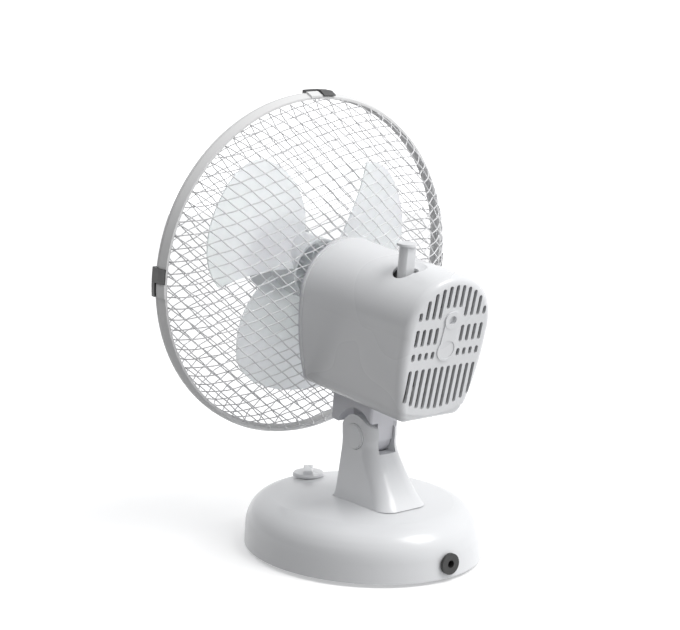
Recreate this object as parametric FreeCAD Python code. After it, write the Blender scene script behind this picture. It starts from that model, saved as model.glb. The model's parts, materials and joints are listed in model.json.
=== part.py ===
import FreeCAD, Part
import math
import os

os.makedirs("parts", exist_ok=True)

# Desk fan with a wire-mesh guard, an oscillating head and a tilting neck, in mm.
# Ground frame: +Z up, the fan blows towards -Y, origin under the middle of the bounding box.
# Head frame: x to the side, y rearwards along the shaft from the guard's rim plane, z up from the shaft.

V = FreeCAD.Vector
X = V(1, 0, 0)
Y = V(0, 1, 0)
Z = V(0, 0, 1)
O = V(0, 0, 0)

# ---- driving dimensions -------------------------------------------------
rest_tilt = 7.21            # head leans back, front up, at rest (degrees)
pivot_height = 95.0         # tilt pivot above the ground
pivot_y = 13.4              # tilt pivot behind the origin
pivot_back = 98.0           # yaw axis behind the rim plane, head frame
pivot_drop = 112.0          # tilt pivot below the shaft axis, head frame
run_gap = 0.05              # radial clearance of a running fit
free_gap = 0.3              # clearance between moving faces that never bear
wall = 2.2                  # moulded cover wall

rim_r = 140.0               # outer radius of the guard's rim
ring_back = 7.8             # rim ring's depth behind the rim plane
ring_front = 3.0            # and ahead of it
clip_angles = (0, 180, 270) # rim clips at both sides and the top
wire_d = 1.1                # guard wire
wire_pitch = 25.8           # every third wire of a full mesh at 8.6
fall_angle = 20.0           # one wire family falls towards +X by this (degrees)
rise_angle = 41.0           # the other rises towards +X by this
wire_clear = 0.6            # wire ends short of the rings
rear_depth = 48.5           # rear guard's hub plane behind the rim plane
front_depth = 37.0          # front guard's face ahead of the rim plane
hub_screw_r = 27.0          # circle of the screws through the guard's hub
guard_hub_r = 34.0          # rear guard's centre ring
badge_r = 33.0              # front badge

fan_r = 105.0               # fan blade tip
hub_r = 26.0                # fan hub
blade_count = 3
blade_t = 1.6

shell_front = 54.8          # motor cover's front edge
shell_back = 176.8          # its back face, on the shaft axis
back_rake = 8.0             # back face leans, top further back (degrees)
shell_w = 44.2              # half width at the front
shell_w_back = 40.0         # half width at the back
shell_top = 35.0            # top above the shaft at the front
shell_top_back = 32.8
shell_floor = -80.0
part_side = -64.0           # parting line at the sides
part_mid = -75.0            # parting line at the back's middle
slot_pitch = 6.1
slot_w = 3.0
lower_inset = 0.9           # lower cover stands this far in under the upper one

shaft_r = 4.0
stator_r = 30.0
stator_s = (76.0, 106.0)    # lamination stack

gear_s = 140.0              # worm, wheel and crank stand at this station
gear_x = 16.0               # clutch shaft beside the motor shaft
module = 0.8
wheel_teeth = 30
worm_r = 4.0
thread_pitch = math.pi * module
pinion_teeth = 8
crank_teeth = 32
crank_throw = 8.0
gearbox_s = (124.2, 157.0)  # gearbox walls
link_length = 43.0
stud_x = 12.4               # link stud beside the yaw axis
turret_r = 17.0
turret_top = -76.0          # head frame
link_z = (-74.5, -72.0)
arm_z = (-70.5, -68.0)

ear_r = 17.2                # column ears around the tilt bolt
ear_x = (8.0, 16.0)
hollow_r = 22.4             # neck block's hollow over the ears
tongue_r = 15.0
tongue_x = 7.6
bolt_r = 3.0

base_a = 87.0               # half width of the oval base
base_b = 104.0              # half length
base_y = -12.0              # base centre from the pivot
deck_h = 45.0               # base deck above the ground
front_corner = 2.5          # column's plan corner radii
rear_corner = 12.8
knob_y = -82.0              # speed knob from the pivot
switch_top = deck_h - 8.5   # top of the switch under the deck


# ---- helpers --------------------------------------------------------------
def placed(shape, pos=O, turn=0.0, axis=Z):
    moved = shape.copy()
    moved.Placement = FreeCAD.Placement(pos, FreeCAD.Rotation(axis, turn)).multiply(moved.Placement)
    return moved


def head_to_ground(shape):
    lifted = placed(shape, V(0, -pivot_back, pivot_drop))
    return placed(placed(lifted, O, -rest_tilt, X), V(0, pivot_y, pivot_height))


def base_to_ground(shape):
    return placed(shape, V(0, pivot_y, 0))


def cyl(r, a, b):
    return Part.makeCylinder(r, (b - a).Length, a, b - a)


def box(x0, x1, y0, y1, z0, z1):
    return Part.makeBox(x1 - x0, y1 - y0, z1 - z0, V(x0, y0, z0))


def ring(r_in, r_out, a, b):
    return cyl(r_out, a, b).cut(cyl(r_in, a - (b - a), b + (b - a)))


def face_of(points):
    return Part.Face(Part.makePolygon([V(*p) for p in points + points[:1]]))


def shaft_turned(points):
    # (radius, y) profile turned about the shaft axis
    return face_of([(r, y, 0) for r, y in points]).revolve(O, Y, 360)


def upright_turned(points, x=0.0, y=0.0):
    # (radius, z) profile turned about a vertical axis at x, y
    return face_of([(x + r, y, z) for r, z in points]).revolve(V(x, y, 0), Z, 360)


def joined(shapes):
    first = shapes[0]
    return first.fuse(shapes[1:]).removeSplitter() if len(shapes) > 1 else first


def group(shapes):
    return Part.makeCompound(shapes)


def arc3(a, b, c):
    return Part.Arc(V(*a), V(*b), V(*c)).toShape()


def line(a, b):
    return Part.makeLine(V(*a), V(*b))


def around(shape, count, start=0.0, axis=Y):
    return [placed(shape, O, start + 360.0 * i / count, axis) for i in range(count)]


def save(name, shape, mover=None):
    done = mover(shape) if mover else shape
    if not done.isValid():
        print("INVALID", name)
    bad = [s for s in done.Solids if s.Volume <= 0]
    print(name, len(done.Solids), round(done.Volume, 1), "bad" if bad else "")
    done.exportStep("parts/" + name + ".step")


# ---- guard ------------------------------------------------------------------
def bowl_profile(depth, crown_r, grow):
    # arc from the rim's shoulder to the crown of a guard bowl, offset outward by grow
    shoulder = (rim_r - 5.4 + grow, 0.16 * depth)
    knee = (rim_r - 15.5 + 0.8 * grow, 0.46 * depth + 0.6 * grow)
    mid = (92.0 + 0.3 * grow, 0.79 * depth + grow)
    crown = (crown_r, depth + grow)
    return shoulder, knee, mid, crown


def bowl_solid(depth, crown_r, grow):
    # everything inside the bowl surface, as a solid of revolution
    shoulder, knee, mid, crown = bowl_profile(depth, crown_r, grow)
    pts = [shoulder, knee, mid, crown]
    curve = Part.BSplineCurve()
    curve.interpolate([V(r, y, 0) for r, y in pts])
    edges = [curve.toShape(), line((crown[0], crown[1], 0), (0, crown[1], 0)),
             line((0, crown[1], 0), (0, -5, 0)), line((0, -5, 0), (shoulder[0], -5, 0)),
             line((shoulder[0], -5, 0), (shoulder[0], shoulder[1], 0))]
    return Part.Face(Part.Wire(edges)).revolve(O, Y, 360)


def mesh_family(depth, crown_r, ring_end, angle, grow):
    # one family of parallel mesh wires lying in the bowl surface
    outer = bowl_solid(depth, crown_r, grow + wire_d)
    skin = outer.cut(bowl_solid(depth, crown_r, grow))
    start = ring_end + wire_clear
    skin = skin.cut(cyl(rim_r, V(0, -9, 0), V(0, start, 0)))
    skin = skin.cut(cyl(crown_r + wire_clear, V(0, 0, 0), V(0, depth + 9, 0)))
    wires = []
    reach = int((rim_r - 8) / wire_pitch)
    for i in range(-reach, reach + 1):
        mid = i * wire_pitch
        slab = box(-rim_r, rim_r, -1, depth + 9, mid - wire_d / 2, mid + wire_d / 2)
        wires += skin.common(placed(slab, O, angle, Y)).Solids
    return group([w for w in wires if w.Volume > 4])


def rear_mesh(angle, grow):
    return mesh_family(rear_depth, guard_hub_r, ring_back, angle, grow)


def front_mesh(angle, grow):
    return mesh_family(front_depth, badge_r, ring_front, angle, grow).mirror(O, Y)


def rear_grille_ring():
    # flared band with a small lug beside each clip
    y = ring_back
    band = shaft_turned([(rim_r, 0.2), (rim_r, 1.6), (rim_r - 2.4, y), (rim_r - 4.2, y),
                         (rim_r - 4.2, y - 1.0), (rim_r - 1.8, 0.2)])
    lug = shaft_turned([(rim_r - 1.0, 0.6), (rim_r + 1.2, 0.6), (rim_r + 1.2, 2.4), (rim_r - 1.2, 8.6),
                        (rim_r - 2.8, 8.6), (rim_r - 3.0, 7.0)])
    lug = lug.common(box(100, 150, -20, 20, -13.5, -3.0))
    return joined([band] + [placed(lug, O, a, Y) for a in clip_angles])


def front_grille_ring():
    y = -ring_front
    return shaft_turned([(rim_r, -0.2), (rim_r, y + 0.8), (rim_r - 0.8, y), (rim_r - 5.2, y),
                         (rim_r - 5.2, y + 1.2), (rim_r - 1.8, y + 1.2), (rim_r - 1.8, -0.2)])


def rear_grille_hub():
    y0, y1 = rear_depth, rear_depth + 2.5
    plate = shaft_turned([(14, y0), (guard_hub_r, y0), (guard_hub_r, y1), (14, y1)])
    holes = around(cyl(2.2, V(hub_screw_r, 40, 0), V(hub_screw_r, 60, 0)), 4, 45)
    return plate.cut(group(holes))


def front_badge():
    y = -front_depth
    return shaft_turned([(0, y - 4.2), (12, y - 4.0), (24, y - 3.2), (badge_r - 2, y - 1.8),
                         (badge_r, y - 0.2), (badge_r, y + 1.2), (badge_r - 1.6, y + 1.2),
                         (badge_r - 1.6, y), (0, y - 1.4)])


def grille_clips():
    # bent steel clips that pinch the two rims together, each with a thin leg beside its plate
    y = -ring_front - 0.3
    plate = shaft_turned([(rim_r + 0.3, y), (rim_r - 3.0, y), (rim_r - 3.0, y - 1.0), (rim_r + 2.2, y - 1.0),
                          (rim_r + 2.2, 4.0), (rim_r - 0.6, 9.2), (rim_r - 1.6, 8.9), (rim_r + 0.3, 3.6)])
    hook = plate.common(box(100, 150, -20, 20, -2.0, 9.5))
    leg = plate.common(box(100, 150, -20, -0.4, -13.5, -1.9))
    clip = joined([hook, leg])
    return group([placed(clip, O, a, Y) for a in clip_angles])


def front_plate():
    # closes the motor cover's front, just inside its outline
    y0, y1 = rear_depth + 2.5, shell_front - 0.4
    plate = Part.Face(cover_section(y0, shell_w, shell_top, 0.9)).extrude(V(0, y1 - y0, 0))
    holes = around(cyl(2.2, V(hub_screw_r, 40, 0), V(hub_screw_r, 60, 0)), 4, 45)
    return plate.cut(cyl(15.5, V(0, 40, 0), V(0, 60, 0))).cut(group(holes))


def hub_screws():
    y0 = rear_depth - 2.6
    x = hub_screw_r
    head = cyl(3.8, V(x, y0, 0), V(x, rear_depth, 0))
    shank = cyl(2.0, V(x, rear_depth, 0), V(x, 63, 0))
    slot = box(x - 2, x + 2, y0 - 1, y0 + 1.0, -0.5, 0.5).fuse(box(x - 0.5, x + 0.5, y0 - 1, y0 + 1.0, -2, 2))
    return group(around(head.fuse(shank).cut(slot), 4, 45))


# ---- motor cover ---------------------------------------------------------------
def cover_section(y, w, top, inset):
    # rounded arch with sides that draw in towards a flat floor
    w = w - inset
    top = top - inset
    z0 = -12.0
    floor = shell_floor + inset
    w_foot = w - 8.6
    z_foot = floor + 7.0
    edges = [arc3((w, y, z0), (0, y, top), (-w, y, z0)),
             arc3((-w, y, z0), (-w + 1.9, y, -43), (-w_foot, y, z_foot)),
             arc3((-w_foot, y, z_foot), (-w_foot + 3.0, y, floor + 1.8), (-w_foot + 9.0, y, floor)),
             line((-w_foot + 9.0, y, floor), (w_foot - 9.0, y, floor)),
             arc3((w_foot - 9.0, y, floor), (w_foot - 3.0, y, floor + 1.8), (w_foot, y, z_foot)),
             arc3((w_foot, y, z_foot), (w - 1.9, y, -43), (w, y, z0))]
    return Part.Wire(edges)


def back_cut(offset):
    # the space behind the raked back face
    block = box(-80, 80, 0, 80, -140, 90)
    return placed(block, V(0, shell_back - offset, 0), -back_rake, X)


def cover_body(inset, y_front):
    y_far = 196.0
    grow = (y_far - shell_front) / (shell_back - shell_front)
    w_far = shell_w + (shell_w_back - shell_w) * grow
    top_far = shell_top + (shell_top_back - shell_top) * grow
    sections = [cover_section(shell_front, shell_w, shell_top, inset),
                cover_section(y_far, w_far, top_far, inset)]
    body = Part.makeLoft(sections, True, True)
    if y_front > shell_front:
        body = body.cut(box(-80, 80, 0, y_front, -140, 90))
    body = body.cut(back_cut(inset))
    edges = []
    for e in body.Edges:
        box_y = e.BoundBox
        mid = e.valueAt((e.FirstParameter + e.LastParameter) / 2)
        plane_y = shell_back - inset + math.tan(math.radians(back_rake)) * mid.z
        if abs(mid.y - plane_y) < 0.6 and box_y.YMin > 150:
            edges.append(e)
    return body.makeFillet(6.0 - 0.4 * inset, edges)


def parting_tool():
    # everything above the parting surface, a shallow arch along the shaft
    edges = [arc3((60, 0, part_side + 12.5), (0, 0, part_mid), (-60, 0, part_side + 12.5)),
             line((-60, 0, part_side + 12.5), (-60, 0, 90)), line((-60, 0, 90), (60, 0, 90)),
             line((60, 0, 90), (60, 0, part_side + 12.5))]
    return Part.Face(Part.Wire(edges)).extrude(V(0, 260, 0))


def cover_shell(inset):
    outer = cover_body(inset, shell_front)
    inner = cover_body(inset + wall, shell_front)
    return outer.cut(inner)


def front_bead():
    # thin raised bead round the upper cover's front edge
    band = Part.Face(cover_section(shell_front, shell_w, shell_top, -0.7)).extrude(V(0, 1.6, 0))
    return band.cut(cover_body(wall, shell_front)).common(parting_tool())


def rounded_slot(x, z_low, z_high):
    r = slot_w / 2
    bar = box(x - r, x + r, -9, 9, z_low + r, z_high - r)
    return joined([bar, cyl(r, V(x, -9, z_low + r), V(x, 9, z_low + r)),
                   cyl(r, V(x, -9, z_high - r), V(x, 9, z_high - r))])


def vent_slots():
    # four rows of upright slots in the raked back face
    slots = []
    for i in range(-5, 6):
        x = i * slot_pitch
        crown = -5.0 + 32.0 * math.sqrt(1 - (x / 33.5) ** 2)
        foot = -21.0 - 50.0 * math.sqrt(1 - (x / 56.0) ** 2)
        low = 1.5 if abs(i) > 1 else 9.0
        slots.append(rounded_slot(x, low, crown))
        slots.append(rounded_slot(x, foot, -36.8))
        if abs(i) > 1:
            slots.append(rounded_slot(x, -18.6, -5.0))
            slots.append(rounded_slot(x, -29.8, -23.6))
    return placed(group(slots), V(0, shell_back, 0), -back_rake, X)


def pill_boss():
    # raised collar round the screw pocket, with a web down to a dished disc
    collar = cyl(6.8, V(0, -1.9, 0), V(0, 1.2, 0))
    low = cyl(8.7, V(0, -1.9, -23.4), V(0, 0.8, -23.4))
    web = Part.Face(Part.makePolygon([V(-5.8, -1.9, -1), V(5.8, -1.9, -1), V(7.4, -1.9, -22.4),
                                      V(-7.4, -1.9, -22.4), V(-5.8, -1.9, -1)])).extrude(V(0, 2.7, 0))
    pad = joined([collar, low, web]).cut(cyl(7.2, V(0, 0.3, -23.4), V(0, 9, -23.4)))
    pad = pad.cut(cyl(3.4, V(0, -9, 0), V(0, 9, 0)))
    return placed(pad, V(0, shell_back, 0), -back_rake, X)


def screw_pocket():
    tube = ring(3.4, 5.6, V(0, -9.5, 0), V(0, -1.5, 0))
    floor = ring(1.55, 5.6, V(0, -11.2, 0), V(0, -9.5, 0))
    return placed(tube.fuse(floor), V(0, shell_back, 0), -back_rake, X)


def knob_scoop():
    # dished recess where the oscillation knob comes through the top
    return Part.makeSphere(26.0, V(gear_x, gear_s + 1, shell_top + 19.4))


def rear_cover(shell):
    top = shell.common(parting_tool()).fuse(front_bead())
    top = top.cut(vent_slots())
    top = top.fuse(pill_boss()).fuse(screw_pocket())
    top = top.cut(placed(cyl(3.4, V(0, -1.5, 0), V(0, 9, 0)), V(0, shell_back, 0), -back_rake, X))
    dish = knob_scoop()
    bowl = Part.makeSphere(28.2, V(gear_x, gear_s + 1, shell_top + 19.4)).common(cover_body(0.0, shell_front))
    top = top.cut(dish).fuse(bowl.cut(dish))
    top = top.cut(cyl(9.4, V(gear_x, gear_s, 10), V(gear_x, gear_s, 60)))
    return top.removeSplitter()


def lower_cover(shell):
    low = shell.cut(parting_tool())
    low = low.cut(cyl(turret_r + 0.5, V(0, pivot_back, -90), V(0, pivot_back, -70)))
    return low


def cover_screw():
    body = joined([cyl(1.5, V(0, -19.5, 0), V(0, -9.5, 0)), cyl(2.9, V(0, -9.5, 0), V(0, -6.8, 0))])
    cross = box(-0.45, 0.45, -8.0, -6, -1.8, 1.8).fuse(box(-1.8, 1.8, -8.0, -6, -0.45, 0.45))
    return placed(body.cut(cross), V(0, shell_back, 0), -back_rake, X)


# ---- motor -----------------------------------------------------------------------
def motor_bracket(y_face, side, boss_len):
    # pressed end bracket: a dished disc with feet on the stack's bolts
    y_cup = y_face + side * 12.0
    profile = [(7.0, y_cup), (20.0, y_cup), (27.0, y_face + side * 6.0), (29.6, y_face),
               (27.4, y_face), (25.2, y_face + side * 5.2), (19.0, y_cup - side * 2.2),
               (7.0, y_cup - side * 2.2)]
    cup = shaft_turned(profile)
    seat = ring(7.0, 10.0, V(0, min(y_cup, y_cup - side * boss_len), 0),
                V(0, max(y_cup, y_cup - side * boss_len), 0))
    vents = around(cyl(3.2, V(14.5, y_face - 30, 0), V(14.5, y_face + 30, 0)), 6, 30)
    return cup.fuse(seat).cut(group(vents)).removeSplitter()


def front_motor_bracket():
    y0 = stator_s[0]
    x = hub_screw_r
    cup = motor_bracket(y0, -1, 6.0)
    cavity = shaft_turned([(0, y0 + 1), (27.4, y0 + 1), (27.4, y0), (25.2, y0 - 5.2), (19.0, y0 - 9.8),
                           (0, y0 - 9.8)])
    standoff = cyl(4.4, V(x, shell_front - 0.3, 0), V(x, y0 - 1.0, 0)).cut(cavity)
    standoff = standoff.cut(cyl(2.0, V(x, 0, 0), V(x, 63.2, 0)))
    bolt_holes = around(cyl(1.7, V(27.2, 60, 0), V(27.2, 90, 0)), 4, 0)
    return joined([cup] + around(standoff, 4, 45)).cut(group(bolt_holes))


def rear_motor_bracket():
    y1 = stator_s[1]
    cup = motor_bracket(y1, 1, 6.0)
    post = box(-9, 9, y1 - 18, y1 + 6, shell_floor + 9, -27)
    post = post.cut(cyl(stator_r + 0.4, V(0, 60, 0), V(0, y1 + 0.02, 0)))
    post = post.cut(cyl(24.8, V(0, 60, 0), V(0, 140, 0)))
    post = post.cut(box(-20, 20, pivot_back + 7.9, 140, -90, -44))
    boss = cyl(8.0, V(0, pivot_back, -71.2), V(0, pivot_back, -33))
    boss = boss.cut(cyl(stator_r + 0.4, V(0, 60, 0), V(0, y1, 0)))
    whole = joined([cup, post, boss])
    whole = whole.cut(cyl(shaft_r, V(0, pivot_back, -90), V(0, pivot_back, -40)))
    bolt_holes = around(cyl(1.7, V(27.2, 100, 0), V(27.2, 130, 0)), 4, 0)
    return whole.cut(group(bolt_holes))


def stator_core():
    y0, y1 = stator_s
    core = ring(17.0, stator_r, V(0, y0, 0), V(0, y1, 0))
    slots = around(box(18.5, 25.5, y0 - 1, y1 + 1, -3.0, 3.0), 8, 22.5)
    mouths = around(box(16, 19, y0 - 1, y1 + 1, -0.9, 0.9), 8, 22.5)
    holes = around(cyl(1.7, V(27.2, y0 - 1, 0), V(27.2, y1 + 1, 0)), 4, 0)
    return core.cut(group(slots)).cut(group(mouths)).cut(group(holes))


def stator_windings():
    y0, y1 = stator_s
    front = ring(18.9, 24.6, V(0, y0 - 5.0, 0), V(0, y0 - 0.3, 0))
    back = ring(18.9, 24.6, V(0, y1 + 0.3, 0), V(0, y1 + 5.0, 0))
    legs = around(box(19.2, 24.3, y0 - 1, y1 + 1, -2.6, 2.6), 8, 22.5)
    return joined([front, back] + legs)


def motor_bolts():
    y0, y1 = stator_s
    shank = cyl(1.5, V(27.2, y0 - 5, 0), V(27.2, y1 + 5, 0))
    return group(around(shank, 4, 0))


def rotor_core():
    y0, y1 = stator_s
    core = ring(shaft_r, 16.6, V(0, y0 + 0.5, 0), V(0, y1 - 0.5, 0))
    bars = around(cyl(1.2, V(14.9, y0 - 1, 0), V(14.9, y1 + 1, 0)), 16, 0)
    cage = core.cut(group(bars))
    ends = [ring(shaft_r + 4, 16.4, V(0, y0 - 1.6, 0), V(0, y0 + 0.5, 0)),
            ring(shaft_r + 4, 16.4, V(0, y1 - 0.5, 0), V(0, y1 + 1.6, 0))]
    return joined([cage] + ends)


def shaft_bearings():
    rings = []
    for y_cup, side in ((stator_s[0] - 12.0, -1), (stator_s[1] + 12.0, 1)):
        a, b = sorted((y_cup - side * 6.0, y_cup + side * 0.6))
        rings.append(ring(shaft_r + run_gap, 6.95, V(0, a, 0), V(0, b, 0)))
    return group(rings)


def worm_thread():
    # one ridge wound round the shaft, with a trapezoid section
    turns = 6
    start = gear_s - turns * thread_pitch / 2
    helix = Part.makeHelix(thread_pitch, turns * thread_pitch, worm_r)
    helix.Placement = FreeCAD.Placement(V(0, start, 0), FreeCAD.Rotation(X, -90))
    p = V(worm_r, start, 0)
    half_root, half_tip = 0.62, 0.26
    profile = Part.makePolygon([p + V(-1.0, -half_root, 0), p + V(0.6, -half_tip, 0),
                                p + V(0.6, half_tip, 0), p + V(-1.0, half_root, 0),
                                p + V(-1.0, -half_root, 0)])
    pipe = Part.BRepOffsetAPI.MakePipeShell(Part.Wire(helix.Edges))
    pipe.setFrenetMode(True)
    pipe.add(profile)
    pipe.build()
    pipe.makeSolid()
    return pipe.shape()


def motor_shaft():
    core = joined([cyl(shaft_r, V(0, -27, 0), V(0, 131.0, 0)), cyl(3.1, V(0, 131.0, 0), V(0, 150, 0))])
    core = core.cut(cyl(1.05, V(-9, 12, 0), V(9, 12, 0)))
    return core.fuse(worm_thread())


# ---- fan blade ---------------------------------------------------------------------
def blade_point(u, v):
    # u runs from the trailing to the leading edge, v from the hub to the tip
    bulge = (2 * u - 1) ** 4
    tip = fan_r * (1 - 0.10 * bulge)
    r = (hub_r - 3.0) + (tip - hub_r + 3.0) * v
    trail = math.radians(-70.0 + 34.0 * v ** 1.3)
    lead = math.radians(22.0 + 12.0 * v)
    phi = trail + (lead - trail) * u
    y_trail = -13.0 + 2.0 * v
    y_lead = 16.0 - 2.0 * v
    y = y_trail + (y_lead - y_trail) * (u - 0.35 * u * (1 - u))
    return r, phi, y


def blade(lift):
    surfaces = []
    for dy in (0.0, blade_t):
        rows = []
        for i in range(9):
            row = []
            for j in range(7):
                r, phi, y = blade_point(i / 8.0, j / 6.0)
                row.append(V(r * math.cos(lift - phi), y + dy, r * math.sin(lift - phi)))
            rows.append(row)
        s = Part.BSplineSurface()
        s.interpolate(rows)
        surfaces.append(s.toShape())
    sides = [Part.makeRuledSurface(a, b) for a, b in zip(surfaces[0].Edges, surfaces[1].Edges)]
    shell = Part.makeShell([surfaces[0], surfaces[1]] + sides)
    shell.sewShape()
    solid = Part.makeSolid(shell)
    solid.fix(0.01, 0.001, 0.01)
    if solid.Volume < 0:
        solid.reverse()
    return solid


def fan_blade():
    hub = shaft_turned([(shaft_r + 0.0, -17), (22, -17), (hub_r - 1, -15.5), (hub_r, -13), (hub_r, 19),
                        (hub_r - 2, 19), (hub_r - 2, -14.6), (8, -14.6), (8, 18), (shaft_r + 0.0, 18)])
    ribs = around(box(7.5, hub_r - 1, -15, 8, -0.8, 0.8), 6, 30)
    hub = joined([hub] + ribs)
    hub = hub.cut(cyl(1.1, V(-30, 12, 0), V(30, 12, 0)))
    wings = [blade(math.radians(a)) for a in (30, 150, 270)]
    clear = cyl(hub_r - 1.0, V(0, -40, 0), V(0, 40, 0))
    wings = [w.cut(clear) for w in wings]
    return hub.fuse(wings)


def blade_nut():
    body = shaft_turned([(shaft_r, -17.3), (11, -17.3), (11, -20), (8.5, -24), (6.5, -29), (0, -30.5),
                         (0, -27.3), (shaft_r, -27.3)])
    flutes = around(cyl(1.4, V(10.6, -40, 0), V(10.6, -10, 0)), 10)
    return body.cut(group(flutes))


def drive_pin():
    return cyl(1.05, V(-9, 12, 0), V(9, 12, 0))


# ---- oscillation gears ----------------------------------------------------------------
def spur(teeth, mod, z0, z1, tooth_share, bore):
    # straight teeth with a trapezoid section, first tooth towards +X
    pitch_r = teeth * mod / 2
    root_r = pitch_r - 1.1 * mod
    tip_r = pitch_r + 0.8 * mod
    step = 2 * math.pi / teeth
    points = []
    for i in range(teeth):
        mid = i * step
        root_half = step * tooth_share * 0.62
        tip_half = step * tooth_share * 0.30
        for r, a in ((root_r, -root_half), (tip_r, -tip_half), (tip_r, tip_half), (root_r, root_half)):
            points.append((r * math.cos(mid + a), r * math.sin(mid + a), z0))
    body = face_of(points).extrude(V(0, 0, z1 - z0))
    return body.cut(cyl(bore, V(0, 0, z0 - 1), V(0, 0, z1 + 1))) if bore else body


def worm_wheel():
    gear = spur(wheel_teeth, module, -2.0, 2.0, 0.42, 3.0)
    collar = ring(3.0, 6.0, V(0, 0, 2.0), V(0, 0, 6.0))
    # a tooth gap faces the worm's thread at rest
    gear = placed(gear, O, 180.0 / wheel_teeth, Z)
    return placed(gear.fuse(collar), V(gear_x, gear_s, 0))


def clutch_shaft():
    rod = cyl(3.0, V(0, 0, -20), V(0, 0, 14.0))
    top = cyl(2.0, V(0, 0, 14.0), V(0, 0, 24.0))
    pinion = spur(pinion_teeth, module, -28.0, -20.0, 0.44, 0)
    pin = cyl(1.6, V(0, 0, -33.0), V(0, 0, -28.0))
    return placed(joined([rod, top, pinion, pin]), V(gear_x, gear_s, 0))


def crank_gear():
    gear = spur(crank_teeth, module, -27.0, -22.0, 0.42, 2.5)
    # a tooth gap faces the pinion's tooth at rest
    return placed(placed(gear, O, 180.0 / crank_teeth, Z), V(0, gear_s, 0))


def crank_pin_angle():
    # rest direction of the crank pin, so that the link spans from the stud to it
    dx = stud_x
    dy = pivot_back - gear_s
    span = math.hypot(dx, dy)
    inner = (crank_throw ** 2 + span ** 2 - link_length ** 2) / (2 * crank_throw * span)
    return math.atan2(dy, dx) + math.acos(inner)


def crank_arm():
    a = crank_pin_angle()
    rod = cyl(2.5, V(0, 0, arm_z[0]), V(0, 0, -18.5))
    hub = cyl(5.0, V(0, 0, arm_z[0]), V(0, 0, arm_z[1]))
    px, py = crank_throw * math.cos(a), crank_throw * math.sin(a)
    eye = cyl(3.4, V(px, py, arm_z[0]), V(px, py, arm_z[1]))
    web = placed(box(0, crank_throw, -3.2, 3.2, arm_z[0], arm_z[1]), O, math.degrees(a), Z)
    pin = cyl(1.8, V(px, py, link_z[1] + free_gap), V(px, py, arm_z[0]))
    return placed(joined([rod, hub, eye, web, pin]), V(0, gear_s, 0))


def crank_link():
    a = crank_pin_angle()
    px = crank_throw * math.cos(a)
    py = gear_s + crank_throw * math.sin(a)
    z0, z1 = link_z
    eye_a = cyl(4.4, V(stud_x, pivot_back, z0), V(stud_x, pivot_back, z1))
    eye_b = cyl(4.4, V(px, py, z0), V(px, py, z1))
    turn = math.degrees(math.atan2(py - pivot_back, px - stud_x))
    bar = placed(box(0, link_length, -2.6, 2.6, z0, z1), V(stud_x, pivot_back, 0), turn, Z)
    link = joined([eye_a, eye_b, bar])
    link = link.cut(cyl(2.0 + run_gap, V(stud_x, pivot_back, -90), V(stud_x, pivot_back, -60)))
    return link.cut(cyl(2.0, V(px, py, -90), V(px, py, -60)))


def gearbox_spots():
    return [(x, gearbox_s[0] + 4.2) for x in (-12.6, 27.4)]


def gearbox_case():
    # moulded box that carries the clutch shaft, the crank shaft and the worm end
    y0, y1 = gearbox_s
    outer = box(-17, 31.5, y0, y1, -36, -12)
    inner = box(-15, 29.7, y0 + 1.8, y1 - 1.8, -34, -11)
    case = outer.cut(inner)
    neck = ring(2.5 + run_gap, 5.0, V(0, gear_s, -60), V(0, gear_s, -33.9))
    case = case.cut(cyl(4.0, V(0, gear_s, -50), V(0, gear_s, -30))).fuse(neck)
    cup = cyl(3.6, V(gear_x, gear_s, -35), V(gear_x, gear_s, -30)).cut(
        cyl(1.6 + run_gap, V(gear_x, gear_s, -33.2), V(gear_x, gear_s, -20)))
    posts = [cyl(2.1, V(x, y, -35), V(x, y, 7.9)) for x, y in gearbox_spots()]
    ears = [box(-21, -16.9, y0, y0 + 7, -16, -12), box(31.4, 34.0, y0, y0 + 7, -16, -12)]
    case = joined([case, cup] + posts + ears)
    return case.cut(group([cyl(1.2, V(x, y, -10), V(x, y, 20)) for x, y in gearbox_spots()]))


def gearbox_lid():
    # walls round the wheel with a top plate that guides the clutch shaft
    y0, y1 = gearbox_s
    outer = box(-17, 31.5, y0, y1, -11.9, 10.0)
    inner = box(-15, 29.7, y0 + 1.8, y1 - 1.8, -13, 8.0)
    lid = outer.cut(inner)
    lid = lid.cut(cyl(5.4, V(0, y0 - 1, 0), V(0, y1 - 8, 0)))
    tail = ring(3.1 + run_gap, 5.0, V(0, 151.5 - 3.2, 0), V(0, y1 - 1.7, 0))
    lid = lid.cut(cyl(3.1 + run_gap, V(0, 146, 0), V(0, 152, 0)))
    lid = lid.fuse(tail)
    lid = lid.cut(cyl(3.0 + run_gap, V(gear_x, gear_s, 2), V(gear_x, gear_s, 30)))
    post = ring(1.5, 3.6, V(0, -20.3, 0), V(0, -11.3, 0))
    lid = lid.fuse(placed(post, V(0, shell_back, 0), -back_rake, X).cut(box(-9, 9, 140, y1 - 1.7, -9, 9)))
    return lid.cut(group([cyl(1.25, V(x, y, -20), V(x, y, 20)) for x, y in gearbox_spots()]))


def gearbox_screws():
    return group([cyl(1.2, V(x, y, -8), V(x, y, 11)).fuse(cyl(2.4, V(x, y, 10.05), V(x, y, 11.8)))
                  for x, y in gearbox_spots()])


def oscillation_knob():
    # pull-up knob on the clutch shaft, with a thin cap flange
    stem = cyl(6.2, V(0, 0, 16.0), V(0, 0, 48.2))
    cap = cyl(7.4, V(1.3, 0, 48.2), V(1.3, 0, 50.0))
    bore = cyl(2.0 + run_gap, V(0, 0, 10), V(0, 0, 32.0))
    flat = box(-9, 9, 4.9, 9, 20, 47)
    knob = stem.cut(flat).fuse(cap).cut(bore)
    return placed(knob, V(gear_x, gear_s, 0))


def capacitor():
    body = box(-19, 19, 59.5, 72.5, -58, -36)
    return body.makeFillet(1.2, body.Edges)


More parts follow.
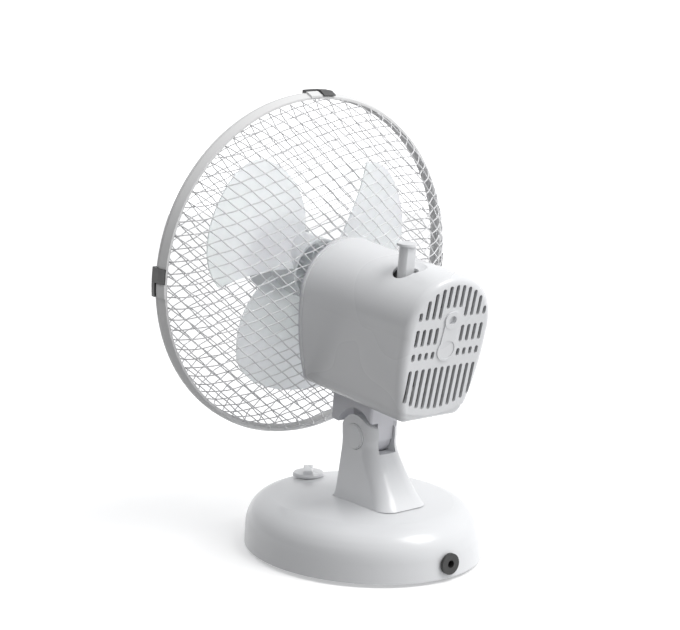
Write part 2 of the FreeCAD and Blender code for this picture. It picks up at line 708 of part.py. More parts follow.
def capacitor_strap():
    outer = box(-5, 5, 58.3, 73.7, -59.2, -34.8)
    band = outer.cut(box(-6, 6, 59.4, 72.6, -58.1, -35.9))
    return band.fuse(box(-5, 5, 73.6, 78.5, -36.4, -34.8)).removeSplitter()


# ---- neck ------------------------------------------------------------------------------
def swivel_pin():
    pin = cyl(shaft_r, V(0, pivot_back, -96.0), V(0, pivot_back, -40.0))
    collar = cyl(5.5, V(0, pivot_back, turret_top + 0.3), V(0, pivot_back, -71.2))
    groove = ring(2.9, 6.0, V(0, pivot_back, -92.0), V(0, pivot_back, -89.0))
    return pin.fuse(collar).cut(groove)


def swivel_screw():
    y0 = pivot_back - 24.0
    z = -90.5
    return joined([cyl(1.4, V(0, pivot_back - 3.3, z), V(0, y0, z)),
                   cyl(2.8, V(0, y0 - 2.5, z), V(0, y0, z))])


def neck_bracket():
    # turret, block and tongue in head frame; the tongue turns on the tilt bolt
    cy, cz = pivot_back, -pivot_drop
    block = box(-16, 16, cy - 32, cy + 17, cz + 6, shell_floor + lower_inset - 0.3)
    block = block.makeFillet(3.0, [e for e in block.Edges if abs(e.tangentAt(e.FirstParameter).z) > 0.9])
    hollow = cyl(hollow_r, V(-20, cy, cz), V(20, cy, cz))
    block = block.cut(hollow)
    turret = cyl(turret_r, V(0, cy, shell_floor - 1.0), V(0, cy, turret_top))
    tongue = cyl(tongue_r, V(-tongue_x, cy, cz), V(tongue_x, cy, cz))
    stem = box(-tongue_x, tongue_x, cy - 14, cy + 16.6, cz, cz + 24)
    stud = cyl(2.0, V(stud_x, cy, turret_top - 1), V(stud_x, cy, link_z[1] + 0.2))
    whole = joined([block, turret, tongue, stem, stud])
    whole = whole.cut(cyl(shaft_r + run_gap, V(0, cy, -97.0), V(0, cy, -60)))
    whole = whole.cut(cyl(1.4, V(0, cy - 3.0, -90.5), V(0, cy - 40, -90.5)))
    whole = whole.cut(cyl(3.0, V(0, cy - 24, -90.5), V(0, cy - 40, -90.5)))
    return whole.cut(cyl(bolt_r + run_gap, V(-20, cy, cz), V(20, cy, cz)))


def column_spots():
    return [(x, y) for x in (-14.0, 14.0) for y in (-8, 29)]


def column_section(z, y0, y1, half):
    # plan outline with tight front corners and wide rear ones
    f, b = front_corner, rear_corner
    pts = [(half, y0 + f), (half, y1 - b), (half - b, y1), (-half + b, y1),
           (-half, y1 - b), (-half, y0 + f), (-half + f, y0), (half - f, y0)]
    kf = f * (1 - math.sqrt(0.5))
    kb = b * (1 - math.sqrt(0.5))
    mids = [(half - kb, y1 - kb), (-half + kb, y1 - kb), (-half + kf, y0 + kf), (half - kf, y0 + kf)]
    edges = []
    for i in range(4):
        p, q, r = pts[2 * i], pts[2 * i + 1], pts[(2 * i + 2) % 8]
        edges.append(line((p[0], p[1], z), (q[0], q[1], z)))
        edges.append(arc3((q[0], q[1], z), (mids[i][0], mids[i][1], z), (r[0], r[1], z)))
    return Part.Wire(edges)


def column():
    # hollow moulding that flares rearwards to the base deck, with two ears
    h = pivot_height
    levels = [(deck_h - 0.8, -20.5, 46, 22.5), (h - 31, -18.8, 31.5, 18.7), (h - 20, -17.9, 25, 17.4),
              (h - 11, -17.2, 21, 16.4), (h, -17, 20.6, 16)]
    body = Part.makeLoft([column_section(*s) for s in levels], True, False)
    inner = [(deck_h - 2, -18.2, 43.4, 19.9), (h - 31, -16.2, 28.9, 16.1), (h - 21, -15.3, 22.4, 14.6)]
    core = Part.makeLoft([column_section(*s) for s in inner], True, False)
    body = body.cut(core)
    # ears: round over the bolt, sloping to a corner at the back
    upper = Part.Face(column_section(h, -17, 20.6, 16)).extrude(V(0, 0, 18))
    crest = cyl(ear_r, V(-20, 0, h), V(20, 0, h))
    wedge = face_of([(-20, 0, h), (-20, 11.1, h + 13.1), (-20, 20.6, h + 6.8), (-20, 20.6, h)])
    slope = wedge.extrude(V(40, 0, 0))
    body = joined([body, upper.common(crest.fuse(slope))])
    gap = cyl(tongue_r + 1.2, V(-ear_x[0], 0, h), V(ear_x[0], 0, h))
    back = box(-ear_x[0], ear_x[0], 0, 60, h - 12.0, h + 30)
    front = box(-ear_x[0], ear_x[0], -60, 0, h - 6.0, h + 30)
    body = body.cut(gap).cut(back).cut(front)
    body = body.cut(cyl(bolt_r + run_gap, V(-30, 0, h), V(30, 0, h)))
    seat = cyl(10.3, V(14.4, 0, h), V(30, 0, h)).fuse(cyl(10.3, V(-30, 0, h), V(-14.4, 0, h)))
    pocket = cyl(5.3, V(11.2, 0, h), V(15, 0, h)).fuse(cyl(5.3, V(-15, 0, h), V(-10.2, 0, h)))
    body = body.cut(seat).cut(pocket)
    posts = [cyl(4.0, V(x, y, deck_h - 0.8), V(x, y, deck_h + 10)).cut(
        cyl(1.5, V(x, y, deck_h - 2), V(x, y, deck_h + 8.5))) for x, y in column_spots()]
    return joined([body] + posts)


def tilt_bolt():
    h = pivot_height
    return joined([cyl(bolt_r, V(-13.4, 0, h), V(13.6, 0, h)), cyl(5.0, V(11.4, 0, h), V(13.6, 0, h))])


def tilt_nut():
    h = pivot_height
    corners = [(-13.0, 4.6 * math.cos(math.radians(a)), h + 4.6 * math.sin(math.radians(a)))
               for a in range(0, 360, 60)]
    return face_of(corners).extrude(V(2.6, 0, 0)).cut(cyl(bolt_r, V(-20, 0, h), V(0, 0, h)))


def pivot_cap(side):
    h = pivot_height
    x0, x1, x2 = 14.5, 16.6, 17.2
    disc = cyl(10.0, V(side * x0, 0, h), V(side * x1, 0, h))
    crown = cyl(9.0, V(side * x1, 0, h), V(side * x2, 0, h))
    return disc.fuse(crown)


# ---- base --------------------------------------------------------------------------------
def base_form(inset, z_low):
    # oval turned form: steep side, rounded shoulder, gently crowned deck
    r = base_b - inset
    top = deck_h - inset
    prof = [line((0, 0, z_low), (r, 0, z_low)), line((r, 0, z_low), (r - 1.2, 0, 18)),
            arc3((r - 1.2, 0, 18), (r - 7.4, 0, 33.0 - 0.6 * inset), (r - 24.0, 0, top - 3.0)),
            arc3((r - 24.0, 0, top - 3.0), (r - 60, 0, top - 0.6), (0, 0, top)),
            line((0, 0, top), (0, 0, z_low))]
    solid = Part.Face(Part.Wire(prof)).revolve(O, Z, 360)
    squeeze = FreeCAD.Matrix()
    squeeze.scale((base_a - inset) / (base_b - inset), 1, 1)
    return placed(solid.transformGeometry(squeeze), V(0, base_y, 0))


def base_cover():
    shell = base_form(0.0, 3.0).cut(base_form(2.4, 2.0))
    knob_hole = cyl(5.2, V(0, knob_y, deck_h - 9), V(0, knob_y, deck_h + 9))
    wire_way = cyl(7.0, V(0, 20, deck_h - 9), V(0, 20, deck_h + 9))
    rear_hole = cyl(5.0, V(0, base_y + base_b - 12, 14), V(0, base_y + base_b + 9, 14))
    holes = [cyl(1.8, V(x, y, deck_h - 9), V(x, y, deck_h + 3)) for x, y in column_spots()]
    pad = Part.Face(column_section(deck_h - 1.0, -21, 46.5, 23)).extrude(V(0, 0, 4))
    return shell.cut(group([knob_hole, wire_way, rear_hole] + holes)).cut(pad)


def screw_spots():
    return [(x, y) for x in (-48, 48) for y in (base_y - 58, base_y + 58)]


def base_plate():
    plate = cyl(base_b - 3.0, V(0, 0, 3.2), V(0, 0, 5.2))
    squeeze = FreeCAD.Matrix()
    squeeze.scale((base_a - 3.0) / (base_b - 3.0), 1, 1)
    plate = placed(plate.transformGeometry(squeeze), V(0, base_y, 0))
    holes = [cyl(1.8, V(x, y, 0), V(x, y, 9)) for x, y in screw_spots()]
    posts = [cyl(4.6, V(x, y, 5.2), V(x, y, 26)).cut(cyl(1.8, V(x, y, 5), V(x, y, 20)))
             for x, y in screw_spots()]
    return joined([plate] + posts).cut(group(holes))


def base_screws():
    return group([cyl(1.5, V(x, y, 3.1), V(x, y, 18)).fuse(cyl(3.0, V(x, y, 1.2), V(x, y, 3.15)))
                  for x, y in screw_spots()])


def rubber_feet():
    spots = [(x, base_y + y) for x in (-58, 58) for y in (-38, 38)]
    spots += [(0, base_y - 88), (0, base_y + 88)]
    profile = [(0, 0), (6.5, 0), (8.0, 1.4), (8.0, 3.2), (0, 3.2)]
    return group([upright_turned(profile, x, y) for x, y in spots])


def ballast_weight():
    slab = box(-30, 30, base_y - 34, base_y + 46, 5.4, 15.4)
    slab = slab.makeFillet(6.0, [e for e in slab.Edges if abs(e.tangentAt(e.FirstParameter).z) > 0.9])
    return slab


def column_screws():
    z = deck_h - 5.4
    return group([cyl(1.4, V(x, y, z), V(x, y, deck_h + 7)).fuse(cyl(3.0, V(x, y, z - 2.2), V(x, y, z)))
                  for x, y in column_spots()])


def switch_body():
    z1 = switch_top
    body = box(-15, 15, knob_y - 13, knob_y + 13, z1 - 16, z1)
    body = body.makeFillet(1.0, body.Edges)
    collar = ring(3.1 + run_gap, 4.8, V(0, knob_y, z1), V(0, knob_y, z1 + 2.2))
    bore = cyl(3.1 + run_gap, V(0, knob_y, z1 - 9), V(0, knob_y, z1 + 1))
    tabs = [box(x - 0.4, x + 0.4, knob_y - 3, knob_y + 3, z1 - 23, z1 - 16) for x in (-10, -3.5, 3.5, 10)]
    return joined([body.cut(bore), collar] + tabs)


def shaft_flat():
    # cuts the D flat that the knob grips
    return box(-5, 5, knob_y + 1.6, knob_y + 5, deck_h + 1, deck_h + 5)


def switch_shaft():
    z1 = switch_top
    rod = cyl(3.1, V(0, knob_y, z1 - 8.5), V(0, knob_y, deck_h + 4.2))
    return rod.cut(shaft_flat())


def speed_knob():
    # low round skirt with a grip bar, turned to its off mark
    z0 = deck_h - 0.7
    profile = [(0, z0), (12.9, z0), (12.9, z0 + 1.6), (11.9, z0 + 2.8), (0, z0 + 3.2)]
    skirt = upright_turned(profile, 0, knob_y)
    grip = box(-4.0, 4.0, -11.0, 11.0, z0 + 1.5, z0 + 6.0)
    grip = grip.makeFillet(1.6, [e for e in grip.Edges if e.BoundBox.ZMin > z0 + 5])
    grip = placed(grip, V(0, knob_y, 0), -38, Z)
    bore = cyl(3.1, V(0, knob_y, z0 - 1), V(0, knob_y, deck_h + 4.2)).cut(shaft_flat())
    return skirt.fuse(grip).cut(bore)


def cord_grommet():
    y1 = base_y + base_b
    flange = ring(2.9, 8.0, V(0, y1 + 0.05, 14), V(0, y1 + 2.4, 14))
    sleeve = ring(2.9, 4.9, V(0, y1 - 9.0, 14), V(0, y1 + 0.1, 14))
    return flange.fuse(sleeve)


def terminal_block():
    body = box(-14, 14, base_y + 60, base_y + 72, 5.6, 16)
    holes = [cyl(2.0, V(x, base_y + 50, 11), V(x, base_y + 90, 11)) for x in (-9, 0, 9)]
    return body.cut(group(holes))


# ---- write every sub-part --------------------------------------------------------------------
head = head_to_ground
base = base_to_ground

save("rear_cover", rear_cover(cover_shell(0.0)), head)
save("lower_cover", lower_cover(cover_shell(lower_inset)), head)
save("front_plate", front_plate(), head)
save("cover_screw", cover_screw(), head)
save("hub_screws", hub_screws(), head)

save("rear_grille_ring", rear_grille_ring(), head)
save("rear_grille_hub", rear_grille_hub(), head)
save("rear_mesh_wires_a", rear_mesh(fall_angle, 0.0), head)
save("rear_mesh_wires_b", rear_mesh(-rise_angle, wire_d + 0.1), head)
save("front_grille_ring", front_grille_ring(), head)
save("front_mesh_wires_a", front_mesh(fall_angle, 0.0), head)
save("front_mesh_wires_b", front_mesh(-rise_angle, wire_d + 0.1), head)
save("front_badge", front_badge(), head)
save("grille_clips", grille_clips(), head)

save("front_motor_bracket", front_motor_bracket(), head)
save("rear_motor_bracket", rear_motor_bracket(), head)
save("stator_core", stator_core(), head)
save("stator_windings", stator_windings(), head)
save("motor_bolts", motor_bolts(), head)
save("shaft_bearings", shaft_bearings(), head)
save("capacitor", capacitor(), head)
save("capacitor_strap", capacitor_strap(), head)

save("rotor_core", rotor_core(), head)
save("motor_shaft", motor_shaft(), head)
save("fan_blade", fan_blade(), head)
save("blade_nut", blade_nut(), head)
save("drive_pin", drive_pin(), head)

save("gearbox_case", gearbox_case(), head)
save("gearbox_lid", gearbox_lid(), head)
save("gearbox_screws", gearbox_screws(), head)
save("worm_wheel", worm_wheel(), head)
save("clutch_shaft", clutch_shaft(), head)
save("oscillation_knob", oscillation_knob(), head)
save("crank_gear", crank_gear(), head)
save("crank_arm", crank_arm(), head)
save("crank_link", crank_link(), head)

save("swivel_pin", swivel_pin(), head)
save("swivel_screw", swivel_screw(), head)
save("neck_bracket", neck_bracket(), head)

save("column", column(), base)
save("tilt_bolt", tilt_bolt(), base)
save("tilt_nut", tilt_nut(), base)
save("pivot_cap_right", pivot_cap(1), base)
save("pivot_cap_left", pivot_cap(-1), base)
save("base_cover", base_cover(), base)
save("base_plate", base_plate(), base)
save("base_screws", base_screws(), base)
save("rubber_feet", rubber_feet(), base)
save("ballast_weight", ballast_weight(), base)
save("column_screws", column_screws(), base)
save("switch_body", switch_body(), base)
save("switch_shaft", switch_shaft(), base)
save("speed_knob", speed_knob(), base)
save("cord_grommet", cord_grommet(), base)
save("terminal_block", terminal_block(), base)
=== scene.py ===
import json
import math

import bmesh
import bpy
import numpy as np
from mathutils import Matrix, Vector


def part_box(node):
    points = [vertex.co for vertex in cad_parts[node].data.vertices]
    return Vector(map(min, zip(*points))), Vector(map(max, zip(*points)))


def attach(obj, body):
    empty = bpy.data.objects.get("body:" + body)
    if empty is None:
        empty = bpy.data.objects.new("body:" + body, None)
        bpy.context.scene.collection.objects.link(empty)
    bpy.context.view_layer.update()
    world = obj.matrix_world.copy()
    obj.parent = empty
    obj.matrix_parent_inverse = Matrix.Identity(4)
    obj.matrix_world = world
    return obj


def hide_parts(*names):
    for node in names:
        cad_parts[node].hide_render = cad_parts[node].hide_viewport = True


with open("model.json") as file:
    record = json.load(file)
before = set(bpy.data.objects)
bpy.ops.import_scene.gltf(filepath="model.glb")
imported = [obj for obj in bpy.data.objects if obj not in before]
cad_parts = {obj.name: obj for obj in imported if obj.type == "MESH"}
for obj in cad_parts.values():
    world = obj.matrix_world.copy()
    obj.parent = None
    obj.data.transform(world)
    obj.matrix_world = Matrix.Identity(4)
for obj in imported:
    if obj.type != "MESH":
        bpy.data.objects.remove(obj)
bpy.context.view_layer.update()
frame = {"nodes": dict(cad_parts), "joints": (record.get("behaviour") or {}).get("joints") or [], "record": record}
nodes = frame["nodes"]
joints = {j["name"]: j for j in frame["joints"]}
mm = 0.001

# ---- head frame, read from the joints ----
rim_centre = Vector(joints["blade_spin"]["pos_m"])
shaft = Vector(joints["blade_spin"]["axis"])
upward = Vector(joints["oscillation"]["axis"])
sideways = Vector((1.0, 0.0, 0.0))
pivot = Vector(joints["head_tilt"]["pos_m"])


def head(x, y, z):
    """A point of the head in mm: x sideways, y rearwards from the rim plane, z up from the shaft."""
    return rim_centre + sideways * (x * mm) + shaft * (y * mm) + upward * (z * mm)


def half_width(node):
    """Half of a node's width along X, in mm."""
    low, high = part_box(node)
    return (high.x - low.x) / 2 / mm


def along_shaft(node):
    """A node's frontmost and rearmost place along the shaft, in mm from the rim plane."""
    points = [(v.co - rim_centre).dot(shaft) / mm for v in nodes[node].data.vertices]
    return min(points), max(points)


# ---- camera ----
lens_mm = 78.47
sensor_mm = 36.0
camera_place = pivot + Vector((0.7095, 0.8743, 0.2716))
camera_look = Vector((-0.60585, -0.77998, -0.15643))
view_reach = 50.0               # metres, past the floor's far rim


def add_camera():
    data = bpy.data.cameras.new("camera")
    data.lens = lens_mm
    data.sensor_width = sensor_mm
    data.clip_end = view_reach
    cam = bpy.data.objects.new("camera", data)
    bpy.context.scene.collection.objects.link(cam)
    cam.location = camera_place
    cam.rotation_euler = camera_look.to_track_quat("-Z", "Y").to_euler()
    bpy.context.scene.camera = cam


# ---- materials ----
class Nodes:
    """Small helper that adds and links shader nodes."""

    def __init__(self, name):
        self.mat = bpy.data.materials.new(name)
        self.mat.use_nodes = True
        self.tree = self.mat.node_tree
        self.shader = self.tree.nodes["Principled BSDF"]
        self.coords = self.add("ShaderNodeTexCoord").outputs["Object"]

    def add(self, kind, **values):
        node = self.tree.nodes.new(kind)
        for key, value in values.items():
            if key in node.inputs:
                node.inputs[key].default_value = value
            else:
                setattr(node, key, value)
        return node

    def link(self, a, b):
        self.tree.links.new(a, b)

    def drive(self, source, name):
        """Links a source to one of the shader's sockets."""
        self.link(source, self.shader.inputs[name])

    def fix(self, name, value):
        """Sets one of the shader's sockets to a value that is the same all over."""
        self.shader.inputs[name].default_value = value

    def noise(self, scale, detail=4.0, rough=0.5):
        node = self.add("ShaderNodeTexNoise", Scale=scale, Detail=detail, Roughness=rough)
        self.link(self.coords, node.inputs["Vector"])
        return node.outputs["Fac"]

    def ramp(self, fac, low, high, start=0.3, end=0.7):
        node = self.add("ShaderNodeValToRGB")
        node.color_ramp.elements[0].position = start
        node.color_ramp.elements[1].position = end
        node.color_ramp.elements[0].color = low
        node.color_ramp.elements[1].color = high
        self.link(fac, node.inputs["Fac"])
        return node.outputs["Color"]

    def span(self, fac, low, high):
        node = self.add("ShaderNodeMapRange")
        node.inputs["To Min"].default_value = low
        node.inputs["To Max"].default_value = high
        self.link(fac, node.inputs["Value"])
        return node.outputs["Result"]

    def bump(self, height, strength, distance):
        node = self.add("ShaderNodeBump", Strength=strength, Distance=distance)
        self.link(height, node.inputs["Height"])
        self.drive(node.outputs["Normal"], "Normal")


def grey(value, cool=0.0):
    return (value, value, value + cool, 1.0)


def moulded(name, low, high, rough, coat=0.0, grain=900.0, bump=0.06):
    """Moulded plastic: slight tone drift, uneven gloss and a fine moulded grain."""
    n = Nodes(name)
    n.drive(n.ramp(n.noise(5.0, detail=0.0), low, high, start=0.0, end=1.0), "Base Color")
    n.drive(n.span(n.noise(12.0, detail=1.0, rough=0.4), rough - 0.02, rough + 0.03), "Roughness")
    n.bump(n.noise(grain, detail=2.0), strength=bump, distance=0.0002)
    n.fix("IOR", 1.49)
    n.fix("Coat Weight", coat)
    n.fix("Coat Roughness", 0.12)
    return n.mat


def metal(name, low, high, rough):
    """Worked metal: fine directional scratches and slow tone drift."""
    n = Nodes(name)
    mapping = n.add("ShaderNodeMapping", Scale=(40.0, 900.0, 40.0))
    n.link(n.coords, mapping.inputs["Vector"])
    scratches = n.add("ShaderNodeTexNoise", Scale=6.0, Detail=3.0)
    n.link(mapping.outputs["Vector"], scratches.inputs["Vector"])
    n.drive(n.ramp(n.noise(30.0), low, high), "Base Color")
    n.drive(n.span(scratches.outputs["Fac"], rough - 0.08, rough + 0.12), "Roughness")
    n.bump(scratches.outputs["Fac"], strength=0.12, distance=0.0001)
    n.fix("Metallic", 1.0)
    return n.mat


def coated_wire():
    """White coated wire with a slightly uneven coat."""
    n = Nodes("white_wire")
    n.drive(n.ramp(n.noise(60.0), grey(0.66, 0.01), grey(0.74, 0.01)), "Base Color")
    n.drive(n.span(n.noise(220.0), 0.28, 0.42), "Roughness")
    n.bump(n.noise(1500.0, detail=2.0), strength=0.15, distance=0.0001)
    n.fix("Coat Weight", 0.25)
    return n.mat


def clear_blade():
    """Frosted blade plastic, half see-through, between faint green and faint lavender."""
    n = Nodes("blade_plastic")
    n.drive(n.ramp(n.noise(14.0), (0.90, 0.94, 0.93, 1), (0.92, 0.92, 0.95, 1)), "Base Color")
    n.drive(n.span(n.noise(20.0, detail=1.0), 0.30, 0.36), "Roughness")
    n.bump(n.noise(240.0, detail=1.0), strength=0.02, distance=0.0001)
    n.fix("Transmission Weight", 0.50)
    n.fix("IOR", 1.35)
    return n.mat


def rubber():
    """Dull black rubber of the feet."""
    n = Nodes("foot_rubber")
    n.drive(n.ramp(n.noise(50.0), grey(0.03), grey(0.06)), "Base Color")
    n.drive(n.span(n.noise(300.0), 0.6, 0.85), "Roughness")
    n.bump(n.noise(1200.0), strength=0.3, distance=0.0002)
    return n.mat


def copper():
    """Wound copper, with the turns as fine waves."""
    n = Nodes("copper_winding")
    wave = n.add("ShaderNodeTexWave", Scale=520.0, Distortion=1.5, Detail=1.0)
    n.link(n.coords, wave.inputs["Vector"])
    n.drive(n.ramp(wave.outputs["Fac"], (0.28, 0.08, 0.03, 1), (0.62, 0.25, 0.10, 1)), "Base Color")
    n.bump(wave.outputs["Fac"], strength=0.6, distance=0.0004)
    n.fix("Metallic", 0.8)
    n.fix("Roughness", 0.35)
    return n.mat


def laminated():
    """Stacked steel sheets of the motor's core."""
    n = Nodes("lamination")
    wave = n.add("ShaderNodeTexWave", Scale=620.0, bands_direction="Y")
    n.link(n.coords, wave.inputs["Vector"])
    n.drive(n.ramp(wave.outputs["Fac"], grey(0.10), grey(0.24)), "Base Color")
    n.bump(wave.outputs["Fac"], strength=0.4, distance=0.0003)
    n.fix("Metallic", 0.7)
    n.fix("Roughness", 0.5)
    return n.mat


def make_materials():
    white = (0.700, 0.708, 0.722, 1), (0.716, 0.723, 0.735, 1)
    cool_white = (0.640, 0.640, 0.675, 1), (0.660, 0.660, 0.692, 1)
    bronze = (0.36, 0.22, 0.10, 1), (0.50, 0.33, 0.16, 1)
    nylon = (0.72, 0.68, 0.55, 1), (0.80, 0.77, 0.66, 1)
    black = grey(0.030), grey(0.050)
    ivory = (0.60, 0.58, 0.50, 1), (0.68, 0.66, 0.60, 1)
    return {
        "cover_white": moulded("cover_white", *white, rough=0.27, coat=0.35),
        "base_white": moulded("base_white", *white, rough=0.30, coat=0.3),
        "neck_white": moulded("neck_white", *cool_white, rough=0.42),
        "rim_white": moulded("rim_white", grey(0.68), grey(0.70), rough=0.38, coat=0.1),
        "wire_white": coated_wire(),
        "clip_steel": metal("clip_steel", grey(0.10), grey(0.16), rough=0.42),
        "blade_clear": clear_blade(),
        "badge_white": moulded("badge_white", *white, rough=0.22, coat=0.4),
        "inner_steel": metal("inner_steel", grey(0.50), grey(0.62), rough=0.35),
        "lamination": laminated(),
        "copper_winding": copper(),
        "rotor_alu": metal("rotor_alu", grey(0.55), grey(0.66), rough=0.4),
        "bronze": metal("bronze", *bronze, rough=0.4),
        "gear_nylon": moulded("gear_nylon", *nylon, rough=0.45),
        "black_plastic": moulded("black_plastic", *black, rough=0.45, grain=500.0, bump=0.2),
        "screw_steel": metal("screw_steel", grey(0.55), grey(0.72), rough=0.25),
        "foot_rubber": rubber(),
        "ballast": metal("ballast", grey(0.05), grey(0.10), rough=0.6),
        "terminal_white": moulded("terminal_white", *ivory, rough=0.5),
        "capacitor_body": moulded("capacitor_body", grey(0.02), grey(0.04), rough=0.3, coat=0.2),
    }


def dress_nodes(mats):
    """Gives each CAD node the material of its slot."""
    slots = {s["node"]: s["material_slot"] for s in frame["record"]["subparts"]}
    for name, obj in nodes.items():
        obj.data.materials.clear()
        obj.data.materials.append(mats[slots[name]])


# ---- mesh pieces ----
def new_piece(name, bm, mat, body):
    mesh = bpy.data.meshes.new(name)
    bmesh.ops.recalc_face_normals(bm, faces=bm.faces)
    bm.to_mesh(mesh)
    bm.free()
    mesh.materials.append(mat)
    mesh.shade_smooth()
    obj = bpy.data.objects.new(name, mesh)
    bpy.context.scene.collection.objects.link(obj)
    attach(obj, body)
    return obj


# ---- wire guards, in mm ----
wire_r = 0.52
wire_sides = 6
wire_pitch = 8.6
fall = math.radians(-20.0)      # one family's direction in the head's x and z
rise = math.radians(41.0)       # the other family's
weave = 0.52                    # how far a wire bows over and under the ones it crosses
crimp = 0.22                    # and how far it wanders sideways between them
point_gap = 1.45                # least distance between points along a wire, in plan
fewest_steps = 4                # from a wire's middle to its end
fewest_points = 4               # a shorter run of wire is left out
lift = 1.15                     # the wires' mid level stands this far off the bowl
edge = 5.4, 0.16                # bowl's edge: mm inside the rim, share of the depth
knee = 15.5, 0.46               # its tightest bend, told the same way
shoulder = 92.0, 0.79           # start of its flat part: radius, share of the depth
curve_points = 200
wire_end = 4.7                  # wires end this far inside the rim
hub_tuck = 2.0                  # and this far inside the hub's or badge's edge
rear_seat = 7.6                 # wire ends rest this far behind the rim plane at the rear
front_seat = 2.8                # and this far ahead of it at the front
badge_lead = 1.2                # front wires' crown ahead of the badge's back edge


def tube(bm, points):
    """A round wire through the points, closed at both ends."""
    rings = []
    count = len(points)
    for i, p in enumerate(points):
        ahead = points[min(i + 1, count - 1)] - points[max(i - 1, 0)]
        ahead.normalize()
        out = ahead.cross(shaft)
        out.normalize()
        over = out.cross(ahead)
        ring = []
        for k in range(wire_sides):
            a = 2 * math.pi * k / wire_sides
            ring.append(bm.verts.new(p + (out * math.cos(a) + over * math.sin(a)) * (wire_r * mm)))
        rings.append(ring)
    for a, b in zip(rings, rings[1:]):
        for k in range(wire_sides):
            bm.faces.new((a[k], a[(k + 1) % wire_sides], b[(k + 1) % wire_sides], b[k]))
    bm.faces.new(reversed(rings[0]))
    bm.faces.new(rings[-1])


def bowl_curve(depth, crown_r, rim_r):
    """Radius to height of the guard's bowl, the cubic through its four leading points."""
    pts = np.array([(rim_r - edge[0] + lift, edge[1] * depth),
                    (rim_r - knee[0] + 0.8 * lift, knee[1] * depth + 0.6 * lift),
                    (shoulder[0] + 0.3 * lift, shoulder[1] * depth + lift),
                    (crown_r, depth + lift)])
    steps = np.concatenate([[0], np.cumsum(np.hypot(*np.diff(pts, axis=0).T))])
    t = np.linspace(steps[0], steps[-1], curve_points)
    radius = np.polyval(np.polyfit(steps, pts[:, 0], 3), t)
    height = np.polyval(np.polyfit(steps, pts[:, 1], 3), t)
    order = np.argsort(radius)
    return radius[order], height[order]


def wire_point(along, offset, own, other, sign):
    """Plan position of a point of one wire and its bow at the crossings with the other family."""
    x = along * math.cos(own) - offset * math.sin(own)
    z = along * math.sin(own) + offset * math.cos(own)
    across = z * math.cos(other) - x * math.sin(other)
    turn = math.pi * across / wire_pitch
    shift = crimp * math.sin(turn) * sign
    return x - shift * math.sin(own), z + shift * math.cos(own), math.cos(turn) * sign


def guard_mesh(name, depth, crown_r, rim_r, seat, side, mats, replaced):
    """Both families of woven wires of one guard; side is 1 for the rear and -1 for the front."""
    radius, height = bowl_curve(depth, crown_r, rim_r)
    outer = rim_r - wire_end
    inner = crown_r - hub_tuck
    bm = bmesh.new()
    for own, other, hand in ((fall, rise, 1), (rise, fall, -1)):
        count = int(outer / wire_pitch)
        for i in range(-count, count + 1):
            offset = i * wire_pitch
            sign = hand * (-1) ** i
            reach = math.sqrt(max(outer * outer - offset * offset, 0.0))
            steps = max(int(reach / point_gap), fewest_steps)
            run = []
            for k in range(-steps, steps + 1):
                x, z, bow = wire_point(reach * k / steps, offset, own, other, sign)
                r = math.hypot(x, z)
                if r < inner:
                    if len(run) >= fewest_points:
                        tube(bm, run)
                    run = []
                    continue
                y = float(np.interp(r, radius, height)) + weave * bow
                foot = head(x, side * seat, z)
                if k == -steps:
                    run.append(foot)
                run.append(head(x, side * y, z))
                if k == steps:
                    run.append(foot)
            if len(run) >= fewest_points:
                tube(bm, run)
    piece = new_piece(name, bm, mats["wire_white"], "head")
    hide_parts(*replaced)


# ---- stage, in metres ----
round_sides = 96
floor_radii = 0.6, 2.0, 6.0, 20.0
wall_profile = (3.0, 0.0), (3.9, 0.12), (4.6, 0.5), (5.0, 1.4), (5.0, 9.0)      # radius, height
floor_glow = 0.16
wall_glow = 0.9


def turned(bm, profile):
    """Rings of faces round Z through the profile's radii and heights; gives the first ring's corners."""
    rings = []
    for r, z in profile:
        turns = [2 * math.pi * k / round_sides for k in range(round_sides)]
        rings.append([bm.verts.new((r * math.cos(a), r * math.sin(a), z)) for a in turns])
    for a, b in zip(rings, rings[1:]):
        for k in range(round_sides):
            bm.faces.new((a[k], b[k], b[(k + 1) % round_sides], a[(k + 1) % round_sides]))
    return rings[0]


def stage_white(name, glow):
    """Matt white that glows a little, so that it comes out plain."""
    n = Nodes(name)
    n.drive(n.ramp(n.noise(1.2), grey(0.93), grey(0.95)), "Base Color")
    n.fix("Roughness", 0.9)
    n.fix("Emission Color", (1, 1, 1, 1))
    n.fix("Emission Strength", glow)
    return n


def stage_object(name, bm, mat):
    mesh = bpy.data.meshes.new(name)
    bm.to_mesh(mesh)
    bm.free()
    mesh.materials.append(mat)
    obj = bpy.data.objects.new(name, mesh)
    bpy.context.scene.collection.objects.link(obj)
    return obj


def floor():
    """A wide pale floor, round, with its rim far outside any view."""
    bm = bmesh.new()
    bm.faces.new(turned(bm, [(r, 0.0) for r in floor_radii]))
    n = stage_white("floor_white", floor_glow)
    n.fix("Specular IOR Level", 0.1)
    obj = stage_object("floor", bm, n.mat)
    # the floor shows and takes shadows, but doesn't light the sides from below
    obj.visible_diffuse = False


def wall():
    """A plain white wall all round, seen only directly and through the blades."""
    bm = bmesh.new()
    turned(bm, wall_profile)
    obj = stage_object("wall", bm, stage_white("wall_white", wall_glow).mat)
    obj.data.shade_smooth()
    obj.visible_diffuse = False
    obj.visible_glossy = False
    obj.visible_shadow = False


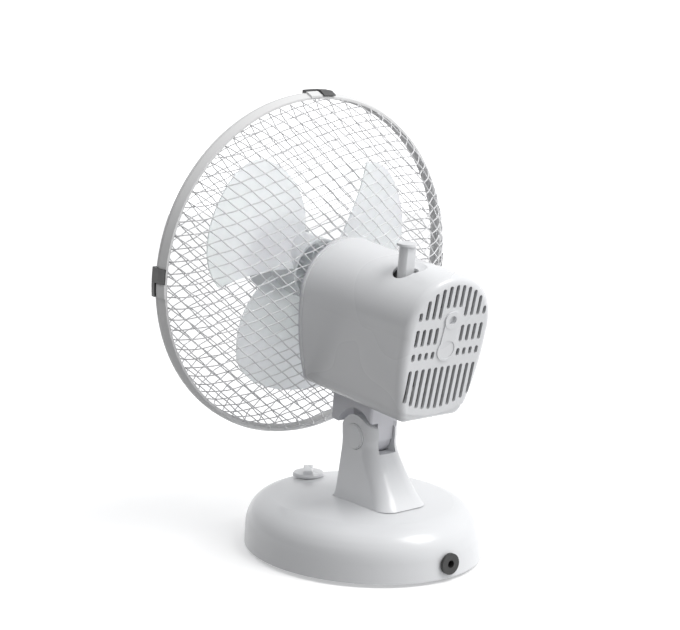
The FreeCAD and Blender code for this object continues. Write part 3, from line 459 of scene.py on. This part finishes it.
# ---- light ----
key_place = Vector((-0.7, 1.5, 2.4))
key_target = Vector((0.0, 0.0, 0.25))
key_size = 1.3
key_power = 40
key_tint = (1, 0.995, 0.985)
sky_lean = (-0.80, 0.05, 0.45)  # the sky brightens this way
sky_level = 0.90                # its strength square to that
sky_least = 0.03
sky_most = 1.0
sky_tint = (0.985, 0.99, 1.0, 1)


def add_key():
    data = bpy.data.lights.new("key", "AREA")
    data.shape = "SQUARE"
    data.size = key_size
    data.energy = key_power
    data.color = key_tint
    obj = bpy.data.objects.new("key", data)
    obj.location = key_place
    obj.rotation_euler = (key_target - key_place).to_track_quat("-Z", "Y").to_euler()
    bpy.context.scene.collection.objects.link(obj)


def add_sky():
    """A soft white sky, brighter above and to one side."""
    world = bpy.data.worlds.new("studio")
    world.use_nodes = True
    tree = world.node_tree
    coords = tree.nodes.new("ShaderNodeTexCoord")
    lean = tree.nodes.new("ShaderNodeVectorMath")
    lean.operation = "DOT_PRODUCT"
    lean.inputs[1].default_value = sky_lean
    tree.links.new(coords.outputs["Generated"], lean.inputs[0])
    strength = lean.outputs["Value"]
    for operation, value in (("ADD", sky_level), ("MAXIMUM", sky_least), ("MINIMUM", sky_most)):
        step = tree.nodes.new("ShaderNodeMath")
        step.operation = operation
        step.inputs[1].default_value = value
        tree.links.new(strength, step.inputs[0])
        strength = step.outputs[0]
    back = tree.nodes["Background"]
    back.inputs["Color"].default_value = sky_tint
    tree.links.new(strength, back.inputs["Strength"])
    bpy.context.scene.world = world


# ---- build ----
add_camera()
materials = make_materials()
dress_nodes(materials)

rim_r = half_width("front_grille_ring")
hub_front = along_shaft("rear_grille_hub")[0]
badge_back = along_shaft("front_badge")[1]
guard_mesh("rear_guard_mesh", hub_front, half_width("rear_grille_hub"), rim_r, rear_seat, 1,
           materials, ("rear_mesh_wires_a", "rear_mesh_wires_b"))
guard_mesh("front_guard_mesh", -badge_back + badge_lead, half_width("front_badge"), rim_r, front_seat, -1,
           materials, ("front_mesh_wires_a", "front_mesh_wires_b"))

floor()
wall()
add_sky()
add_key()
bpy.context.scene.view_settings.view_transform = "Standard"
